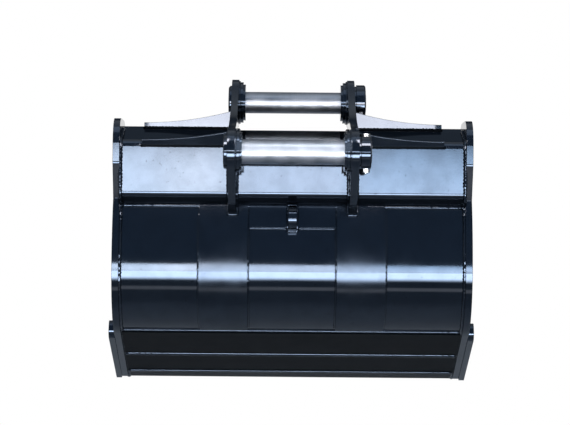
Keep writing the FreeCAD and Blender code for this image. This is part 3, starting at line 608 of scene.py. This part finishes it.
@dataclass
class Welder:
    """Lays weld beads as rippled, hand-made runs of weld metal."""

    finish: bpy.types.Material
    pitch: float = 0.0045
    ripple: float = 0.24
    unevenness: float = 0.12
    end_share: float = 0.7
    roundness: int = 2
    seed: int = 7
    laid: int = 0

    def lay(self, name: str, points: Sequence[Point], radius: float,
            closed: bool = False) -> None:
        """Lay one bead along a path, dress it and fix it to the bucket.

        Args:
            name: The new piece's name.
            points: The path of the bead's middle.
            radius: The bead's radius.
            closed: Whether the bead is a ring.
        """
        chance = random.Random(self.seed + self.laid)
        spaced = evenly(points, self.pitch, closed)
        bpy.ops.object.select_all(action="DESELECT")
        bpy.ops.curve.primitive_nurbs_path_add()
        bead = bpy.context.object
        bead.name = name
        curve = bead.data
        curve.name = name
        curve.splines.clear()
        spline = curve.splines.new("POLY")
        spline.points.add(len(spaced) - 1)
        spline.use_cyclic_u = closed
        for number, (knot, spot) in enumerate(zip(spline.points, spaced)):
            knot.co = (*spot, 1.0)
            swell = 1.0 - self.ripple * (number % 2)
            knot.radius = swell * (1.0 + chance.uniform(-self.unevenness,
                                                        self.unevenness))
        if not closed:
            spline.points[0].radius *= self.end_share
            spline.points[-1].radius *= self.end_share
        curve.dimensions = "3D"
        curve.bevel_depth = radius
        curve.bevel_resolution = self.roundness
        curve.use_fill_caps = True
        bpy.ops.object.convert(target="MESH")
        bead = bpy.context.object
        bpy.ops.object.shade_smooth()
        bead.data.materials.clear()
        bead.data.materials.append(self.finish)
        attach(bead, BUCKET)
        self.laid += 1
        LOG.info("%s: %d faces", name, len(bead.data.polygons))


@dataclass
class Assembly:
    """A sub-assembly of the bucket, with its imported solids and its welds."""

    section: Section
    coats: Coats

    def finish(self, coat: Coat, names: Iterable[str]) -> None:
        """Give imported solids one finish.

        Args:
            coat: The finish.
            names: The solids' nodes.
        """
        for name in names:
            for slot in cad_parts[name].material_slots:
                slot.material = self.coats[coat]
            LOG.info("%s: %s", name, self.coats[coat].name)


@dataclass
class Ears(Assembly):
    """The two hanger ears with their pin bosses and their welds."""

    inner: float = 0.151
    thickness: float = 0.020
    strip: float = 0.011
    strip_below: float = 0.004
    toe: float = 0.003
    link_pin: Flat = (-0.290, -0.151)
    boss_radius: float = 0.057
    ring_degrees: int = 5
    box_bead: float = 0.0055
    box_sunk: float = 0.35
    boss_bead: float = 0.0038

    def dress(self) -> None:
        """Paint the ears and their bosses."""
        self.finish(Coat.PAINT, pairs("ear", "dipper_boss", "link_boss"))

    def contour(self, x: float, out: float) -> List[Point]:
        """Follow one face of an ear over the box and down to its toe.

        Args:
            x: Place of the face along X.
            out: How far out of the plates the path lies.

        Returns:
            The path's points.
        """
        section = self.section
        top = section.return_along() - self.strip_below
        path = section.box_path(out)
        path.append(section.neck(top + out, out))
        path.append(section.neck(top + out, self.strip + out))
        path.append(section.neck(self.toe - out, self.strip + out))
        return at_x(x, path)

    def build(self, welder: Welder) -> None:
        """Weld the ears to the box, round the toes and round the bosses.

        Args:
            welder: Who lays the beads.
        """
        out = self.box_bead * self.box_sunk
        toe = self.section.neck(self.toe - out, self.strip + out)
        for side in Side:
            near = side.value * (self.inner - out)
            far = side.value * (self.inner + self.thickness + out)
            down = self.contour(near, out)
            up = self.contour(far, out)
            middle = side.value * (self.inner + self.thickness / 2)
            welder.lay("weld_ear_%s" % side.name.lower(),
                       down + [(middle, *toe)] + up[::-1], self.box_bead)
            face = side.value * (self.inner - self.boss_bead * SUNK)
            for pin, (y, z) in (("dipper", (0.0, 0.0)),
                                ("link", self.link_pin)):
                ring = [(face,
                         y + self.boss_radius * math.cos(math.radians(a)),
                         z + self.boss_radius * math.sin(math.radians(a)))
                        for a in range(0, 360, self.ring_degrees)]
                welder.lay("weld_%s_boss_%s" % (pin, side.name.lower()),
                           ring, self.boss_bead, closed=True)


@dataclass
class TorsionBox(Assembly):
    """The folded box, its ends and lip bars, and its seam on the wrapper."""

    ear_inner: float = 0.151
    ear_outer: float = 0.171
    side_gap: float = 0.004
    bead: float = 0.0060

    def dress(self) -> None:
        """Paint the box."""
        self.finish(Coat.PAINT, ("torsion_box", *pairs("box_end", "top_lip")))

    def build(self, welder: Welder) -> None:
        """Lay the seam where the return meets the wrapper, in three runs.

        Args:
            welder: Who lays the beads.
        """
        out = self.bead * SUNK
        y, z = self.section.box_path(out)[-1]
        z -= out
        side = self.section.half(y) - self.side_gap
        for name, start, end in (("left", -side, -self.ear_outer),
                                 ("middle", -self.ear_inner, self.ear_inner),
                                 ("right", self.ear_outer, side)):
            welder.lay("weld_return_%s" % name,
                       [(start, y, z), (end, y, z)], self.bead)


@dataclass
class Wrapper(Assembly):
    """The rolled wrapper, its side plates, wear strips and lifting eye."""

    side_bead: float = 0.0065
    side_top: float = 0.020
    side_end: float = 0.395
    strip_inner: float = 0.119
    strip_outer: float = 0.249
    strip_end: float = math.radians(58)
    strip_below: float = 0.004
    strip_bead: float = 0.0042
    back_steps: int = 10
    heel_steps: int = 14
    eye_half: float = 0.011
    eye_below: float = 0.002
    eye_low: float = math.radians(14.7)
    eye_out: float = 0.002
    eye_turn: float = 0.01
    pad_end: float = 0.116
    pad_thickness: float = 0.007
    pad_low: float = math.radians(15.7)
    pad_gap: float = 0.004
    pad_out: float = 0.001
    pad_bead: float = 0.00378

    def dress(self) -> None:
        """Paint the wrapper and its plates, and the strips' rougher steel."""
        self.finish(Coat.PAINT, ("shell", *pairs("side_plate", "eye_pad"),
                                 "lifting_eye"))
        self.finish(Coat.STRIP, pairs("wear_strip"))

    def strip_path(self, x: float, out: float) -> List[Point]:
        """Follow one long edge of a wear strip down the back.

        Args:
            x: Place of the edge along X.
            out: How far out of the wrapper the path lies.

        Returns:
            The path's points.
        """
        section = self.section
        path = [section.neck(section.return_along() - self.strip_below, out)]
        for i in range(self.back_steps + 1):
            turn = section.back_top * (1 - i / self.back_steps)
            path.append(section.back(turn, out))
        for i in range(1, self.heel_steps + 1):
            path.append(section.heel(self.strip_end * i / self.heel_steps,
                                     out))
        return at_x(x, path)

    def build(self, welder: Welder) -> None:
        """Lay the seams of the side plates, strips, doublers and eye.

        Args:
            welder: Who lays the beads.
        """
        section = self.section
        out = self.side_bead * SUNK
        flat = (section.box_path(out)
                + section.back_path(self.side_top, out)
                + [section.floor(self.side_end, out)])
        for side in Side:
            name = side.name.lower()
            seam = [(side.value * (section.half(y) - out), y, z)
                    for y, z in flat]
            welder.lay("weld_side_plate_%s" % name, seam, self.side_bead)
            over = self.strip_bead * SUNK
            inner = self.strip_path(
                side.value * (self.strip_inner - over), over)
            outer = self.strip_path(
                side.value * (self.strip_outer + over), over)
            welder.lay("weld_wear_strip_%s" % name, inner + outer[::-1],
                       self.strip_bead, closed=True)
            self.build_doubler(welder, side)
        self.build_eye(welder)

    def build_doubler(self, welder: Welder, side: Side) -> None:
        """Lay the weld along the foot of one doubler plate.

        Args:
            welder: Who lays the bead.
            side: The doubler's side.
        """
        y, z = self.section.back(self.pad_low, self.pad_out)
        z -= self.pad_out
        welder.lay("weld_doubler_%s" % side.name.lower(),
                   [(side.value * (self.eye_half + self.pad_gap), y, z),
                    (side.value * self.pad_end, y, z)], self.pad_bead)

    def build_eye(self, welder: Welder) -> None:
        """Lay the weld round the foot of the lifting eye.

        Args:
            welder: Who lays the bead.
        """
        section = self.section
        out = self.eye_out
        top = section.return_along() - self.eye_below
        face = self.pad_thickness + out
        edge = [section.neck(top, face), section.neck(0.0, face),
                section.back(self.pad_low + self.eye_turn, face),
                section.back(self.eye_low - self.eye_turn / 2, out)]
        left = at_x(-self.eye_half - out, edge)
        right = at_x(self.eye_half + out, edge)
        welder.lay("weld_lifting_eye", left + right[::-1],
                   self.strip_bead, closed=True)


@dataclass
class Lip(Assembly):
    """The lip's plates and cutters, and the seams across the floor.

    A seam is its name, its place along the floor, how far it stands out of
    the floor and its radius.
    """

    seams: Tuple[Tuple[str, float, float, float], ...] = (
        ("weld_wear_plate_rear", 0.004, 0.0, 0.0045),
        ("weld_cutting_edge", 0.1825, 0.0040, 0.0070),
        ("weld_edge_nose", 0.328, 0.0075, 0.0040))
    side_gap: float = 0.004

    def dress(self) -> None:
        """Paint the cutters, and the underside with the darkened enamel, painted shade."""
        self.finish(Coat.UNDERSIDE, ("lip_wear_plate", "cutting_edge"))
        self.finish(Coat.PAINT, pairs("side_cutter"))

    def build(self, welder: Welder) -> None:
        """Lay the beads that run across the floor.

        Args:
            welder: Who lays the beads.
        """
        for name, along, out, radius in self.seams:
            y, z = self.section.floor(along, out + radius * SUNK)
            reach = self.section.half(y) - self.side_gap
            welder.lay(name, [(-reach, y, z), (reach, y, z)], radius)


@dataclass
class Gussets(Assembly):
    """The gussets that run out from the ears, and the welds at their feet."""

    ear: float = 0.171
    front_reach: float = 0.409
    front_along: float = 0.1365
    front_out: float = 0.001
    rear_reach: float = 0.404
    rear_foot: Flat = (-0.2045, -0.1335)
    bead: float = 0.0045

    def dress(self) -> None:
        """Paint the gussets."""
        self.finish(Coat.PAINT, pairs("front_gusset", "rear_gusset"))

    def build(self, welder: Welder) -> None:
        """Lay the foot welds of the front and rear gussets.

        Args:
            welder: Who lays the beads.
        """
        front = self.section.roof(self.front_along, self.front_out)
        for side in Side:
            name = side.name.lower()
            for end, reach, (y, z) in (
                    ("front", self.front_reach, front),
                    ("rear", self.rear_reach, self.rear_foot)):
                welder.lay("weld_%s_gusset_%s" % (end, name),
                           [(side.value * self.ear, y, z),
                            (side.value * (reach + self.bead), y, z)],
                           self.bead)


@dataclass
class PinSet(Assembly):
    """One hanger pin with what is on it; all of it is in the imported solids."""

    pin: Pin = Pin.DIPPER

    def dress(self) -> None:
        """Finish the bright pin, its painted rings and its plated bolt."""
        name = self.pin.value
        self.finish(Coat.PIN, (name + "_pin",))
        self.finish(Coat.PAINT, (name + "_pin_head", name + "_shim",
                                 name + "_collar"))
        self.finish(Coat.PLATED, (name + "_bolt", name + "_nut"))


@dataclass(frozen=True)
class Lamp:
    """One soft rectangular lamp, upright, that faces the bucket's back.

    Its glow is how bright its face is, where 1 is white. It fades away over a
    share of its height at the top and at the bottom.
    """

    name: str
    y: float
    left: float
    right: float
    low: float
    high: float
    glow: float
    colour: str = "#ffffff"
    fade_low: float = 0.0
    fade_high: float = 0.0


@dataclass(frozen=True)
class StudioAir:
    """The dim room round the bucket, pale at its sides and overhead."""

    name: str = "studio_air"
    behind: str = "#859cb5"
    ahead: str = "#3f4a58"
    pale: str = "#d3d9df"
    ahead_span: Flat = (-0.6, 0.4)
    side_span: Flat = (0.55, 0.85)
    above_span: Flat = (0.72, 0.92)

    def make(self) -> bpy.types.World:
        """Build the room's light as a world.

        Returns:
            The world.
        """
        world = bpy.data.worlds.new(self.name)
        world.use_nodes = True
        tree = world.node_tree
        tree.nodes.clear()
        place = add_node(tree, "ShaderNodeTexCoord")
        split = add_node(tree, "ShaderNodeSeparateXYZ",
                         links={0: place.outputs["Generated"]})
        beside = add_node(tree, "ShaderNodeMath", {"operation": "ABSOLUTE"},
                          links={0: split.outputs["X"]})
        ahead, sides, above = (
            add_node(tree, "ShaderNodeMapRange",
                     inputs={"From Min": span[0], "From Max": span[1]},
                     links={"Value": socket})
            for span, socket in ((self.ahead_span, split.outputs["Y"]),
                                 (self.side_span, beside.outputs[0]),
                                 (self.above_span, split.outputs["Z"])))
        dim = add_node(tree, "ShaderNodeMix", {"data_type": "RGBA"},
                       {6: linear(self.behind), 7: linear(self.ahead)},
                       {0: ahead.outputs["Result"]})
        share = add_node(tree, "ShaderNodeMath", {"operation": "MAXIMUM"},
                         links={0: sides.outputs["Result"],
                                1: above.outputs["Result"]})
        colour = add_node(tree, "ShaderNodeMix", {"data_type": "RGBA"},
                          {7: linear(self.pale)},
                          {0: share.outputs[0], 6: dim.outputs[2]})
        air = add_node(tree, "ShaderNodeBackground",
                       inputs={"Strength": 1.0},
                       links={"Color": colour.outputs[2]})
        add_node(tree, "ShaderNodeOutputWorld",
                 links={"Surface": air.outputs[0]})
        return world


@dataclass
class Studio:
    """Pale floor and backdrop, lamps and the photograph's camera.

    The panel's lamps hang far off, so that only flat plate that faces them
    mirrors them; the nearer ones light the rolled back, heel, pins and gussets.
    """

    floor_paper: bpy.types.Material
    backdrop_paper: bpy.types.Material
    eye: Point = (-0.020, -3.900, -0.309)
    lens_mm: float = 87.35
    sensor_mm: float = 36.0
    roll: float = math.radians(-0.5)
    floor_drop: float = 1.9
    floor_half: float = 30.0
    backdrop_y: float = 5.0
    backdrop_half: float = 6.0
    backdrop_top: float = 1.4
    least_fade: float = 0.001
    sky_place: Point = (0.0, -1.8, 3.4)
    sky_aim: Point = (0.0, -0.1, -0.1)
    sky_size: Flat = (4.0, 2.0)
    sky_glow: float = 1.2
    sky_colour: str = "#dfe9f5"
    lamps: Tuple[Lamp, ...] = (
        Lamp("panel_lamp_left", -100, -18, -4, -0.5, 5.1, 26.0, "#fff9f2",
             fade_high=0.08),
        Lamp("panel_lift_left", -99, -9, -4, -0.5, 5.1, 3.4, "#ffc68a",
             fade_high=0.08),
        Lamp("panel_lamp_middle", -100, -4, 5, -0.5, 5.0, 22.0, "#fffaf6",
             fade_high=0.08),
        Lamp("panel_lamp_right", -100, 5, 19, -0.5, 4.95, 15.0, "#e4f5ff",
             fade_high=0.08),
        Lamp("panel_lift_right", -99, 5, 19, -0.5, 4.95, 9.4, "#ffeadb",
             fade_high=1.0),
        Lamp("back_lamp", -1.7, -0.80, 0.80, -1.00, -0.46, 29.0,
             fade_low=0.45, fade_high=0.1),
        Lamp("heel_lamp", -1.7, -0.80, 0.80, -1.60, -1.28, 2.2, "#e0cfc0",
             fade_low=0.3, fade_high=0.3),
        Lamp("lower_pin_lamp", -0.36, -0.15, 0.15, -0.148, -0.105, 2.6),
        Lamp("upper_pin_lamp", -0.40, -0.15, 0.15, -0.03, 0.04, 9.5),
        Lamp("gusset_lamp_left", -0.4, -0.432, -0.17, -0.064, 0.002, 30.0,
             "#ffe8d6"),
        Lamp("gusset_lamp_right", -0.4, 0.17, 0.428, -0.064, 0.002, 28.5,
             "#ffe8d6"))

    def add_sheet(self, name: str, corners: Sequence[Point],
                  paper: bpy.types.Material) -> bpy.types.Object:
        """Hang or lay one flat sheet of paper.

        Args:
            name: The sheet's name.
            corners: Its four corners, in order.
            paper: Its material.

        Returns:
            The sheet, marked as stage.
        """
        mesh = bpy.data.meshes.new(name)
        mesh.from_pydata([tuple(c) for c in corners], [], [(0, 1, 2, 3)])
        mesh.materials.append(paper)
        sheet = bpy.data.objects.new(name, mesh)
        bpy.context.scene.collection.objects.link(sheet)
        return sheet

    def build_sheets(self) -> None:
        """Lay the floor well under the hanging bucket, and the backdrop."""
        low = CAD_BOX[0][2] - self.floor_drop
        far, reach = self.floor_half, self.backdrop_half
        self.add_sheet("studio_floor", [(-far, -far, low), (far, -far, low),
                                        (far, far, low), (-far, far, low)],
                       self.floor_paper)
        y, top = self.backdrop_y, self.backdrop_top
        self.add_sheet("studio_backdrop", [(-reach, y, low), (reach, y, low),
                                           (reach, y, top), (-reach, y, top)],
                       self.backdrop_paper)

    def add_lamp(self, name: str, place: Point, aim: Point, size: Flat,
                 glow: float, colour: str = "#ffffff",
                 fade: Flat = (0.0, 0.0)) -> None:
        """Hang one soft rectangular lamp.

        Args:
            name: The lamp's name.
            place: Where it hangs.
            aim: The point that it faces.
            size: Its width and height.
            glow: How bright its face is, where 1 is white.
            colour: Its colour.
            fade: Share of its height that fades, at the bottom and the top.
        """
        data = bpy.data.lights.new(name, "AREA")
        data.shape = "RECTANGLE"
        data.size, data.size_y = size
        data.energy = math.pi * size[0] * size[1]
        data.color = linear(colour)[:3]
        data.use_nodes = True
        tree = data.node_tree
        tree.nodes.clear()
        place_on = add_node(tree, "ShaderNodeNewGeometry")
        split = add_node(tree, "ShaderNodeSeparateXYZ",
                         links={0: place_on.outputs["Parametric"]})
        fades = []
        for share, start in ((fade[0], 0.0), (fade[1], 1.0)):
            stop = start + max(share, self.least_fade) * (1 if start == 0 else -1)
            fades.append(add_node(
                tree, "ShaderNodeMapRange",
                {"interpolation_type": "SMOOTHSTEP"},
                {"From Min": start, "From Max": stop,
                 "To Min": 0.0, "To Max": 1.0},
                {"Value": split.outputs["Y"]}))
        both = add_node(tree, "ShaderNodeMath", {"operation": "MULTIPLY"},
                        links={0: fades[0].outputs["Result"],
                               1: fades[1].outputs["Result"]})
        power = add_node(tree, "ShaderNodeMath", {"operation": "MULTIPLY"},
                         {1: glow}, {0: both.outputs[0]})
        shine = add_node(tree, "ShaderNodeEmission",
                         links={"Strength": power.outputs[0]})
        add_node(tree, "ShaderNodeOutputLight",
                 links={"Surface": shine.outputs[0]})
        lamp = bpy.data.objects.new(name, data)
        bpy.context.scene.collection.objects.link(lamp)
        lamp.location = place
        facing = Vector(aim) - Vector(place)
        lamp.rotation_euler = facing.to_track_quat("-Z", "Y").to_euler()
        lamp.visible_camera = False

    def light(self) -> None:
        """Hang the lamps, the panel's far off, and fill the room."""
        for lamp in self.lamps:
            across = (lamp.left + lamp.right) / 2
            up = (lamp.low + lamp.high) / 2
            self.add_lamp(lamp.name, (across, lamp.y, up), (across, 0, up),
                          (lamp.right - lamp.left, lamp.high - lamp.low),
                          lamp.glow, lamp.colour,
                          (lamp.fade_low, lamp.fade_high))
        self.add_lamp("sky_lamp", self.sky_place, self.sky_aim,
                      self.sky_size, self.sky_glow, self.sky_colour)
        bpy.context.scene.world = StudioAir().make()
        LOG.info("studio: %d lamps", len(self.lamps) + 1)

    def place_camera(self) -> None:
        """Stand the camera where the photograph was taken from."""
        data = bpy.data.cameras.new("photo_camera")
        data.lens = self.lens_mm
        data.sensor_width = self.sensor_mm
        camera = bpy.data.objects.new("photo_camera", data)
        bpy.context.scene.collection.objects.link(camera)
        camera.location = self.eye
        camera.rotation_euler = (math.pi / 2, self.roll, 0)
        bpy.context.scene.camera = camera


def make_coats() -> Coats:
    """Make every finish of the bucket.

    The lip's underside and the gussets' foot welds get a copy of the enamel
    that mirrors almost nothing and is a shade darker: painted shade. The wear
    strips' plate is rougher, and blurs what the paint mirrors.

    Returns:
        The materials by their finish.
    """
    # Painted shade: a darkened copy of the enamel that mirrors almost nothing.
    under = GlossPaint("matt_black_enamel_underside", level=0.015,
                       roughness=(0.18, 0.26), light="#030507")
    strip = GlossPaint("gloss_black_enamel_on_rolled_plate",
                       roughness=(0.09, 0.19), mottle_dull=0.85)
    return {Coat.PAINT: GlossPaint().make(), Coat.PIN: PinSteel().make(),
            Coat.PLATED: ZincPlate().make(), Coat.UNDERSIDE: under.make(),
            Coat.STRIP: strip.make()}


def main() -> None:
    """Dress and weld the bucket, then build the studio round it."""
    logging.basicConfig(level=logging.INFO)
    coats = make_coats()
    section = Section()
    welder = Welder(coats[Coat.PAINT])
    for part in (Ears(section, coats), TorsionBox(section, coats),
                 Wrapper(section, coats), Lip(section, coats)):
        part.dress()
        part.build(welder)
    gussets = Gussets(section, coats)
    gussets.dress()
    # The gussets' foot welds take the darkened enamel: painted shade under the gussets.
    gussets.build(Welder(coats[Coat.UNDERSIDE]))
    for pin in Pin:
        PinSet(section, coats, pin).dress()
    studio = Studio(StudioPaper().make(), LitBackdrop().make())
    studio.build_sheets()
    studio.light()
    studio.place_camera()
    bpy.context.scene.view_settings.view_transform = "Standard"


if __name__ == "__main__":
    main()
